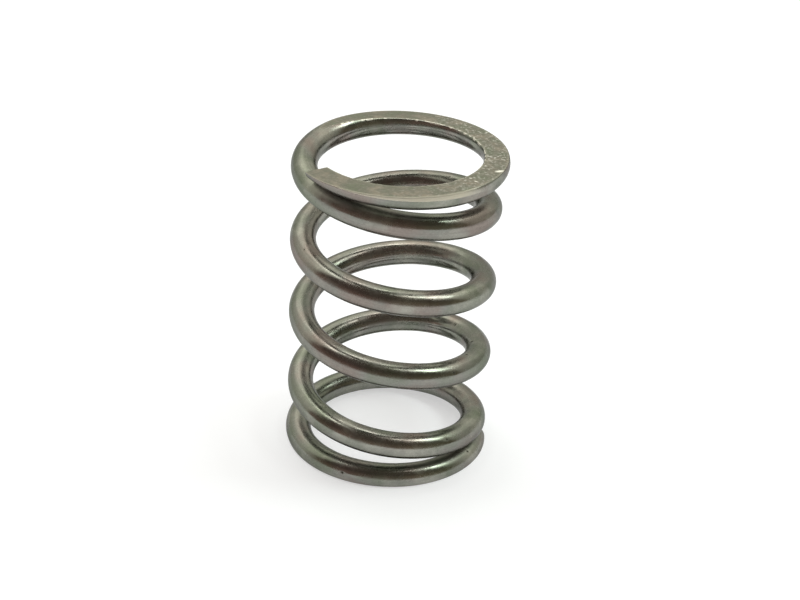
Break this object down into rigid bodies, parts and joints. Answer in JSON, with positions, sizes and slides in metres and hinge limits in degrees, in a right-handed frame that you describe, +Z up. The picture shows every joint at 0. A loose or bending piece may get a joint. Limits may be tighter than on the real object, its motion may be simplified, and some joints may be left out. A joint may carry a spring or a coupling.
{
  "type": "compression spring",
  "caption": "Small round-wire compression spring wound left-hand, with closed ends ground flat and open coils between.",
  "frame": {"origin": "on the coil's axis, in the plane of the lower ground end", "axes": "+Z up along the coil's axis; the lower tip lies on the +X side; the pictured front faces -Y"},
  "size_m": [0.0164, 0.0164, 0.0247],
  "materials": {
    "spring_wire": "drawn bright wire, warm grey, with fine lines along the wire and matt ground ends"
  },
  "bodies": {
    "root": {"coil_spring": "spring_wire"}
  },
  "joints": []
}
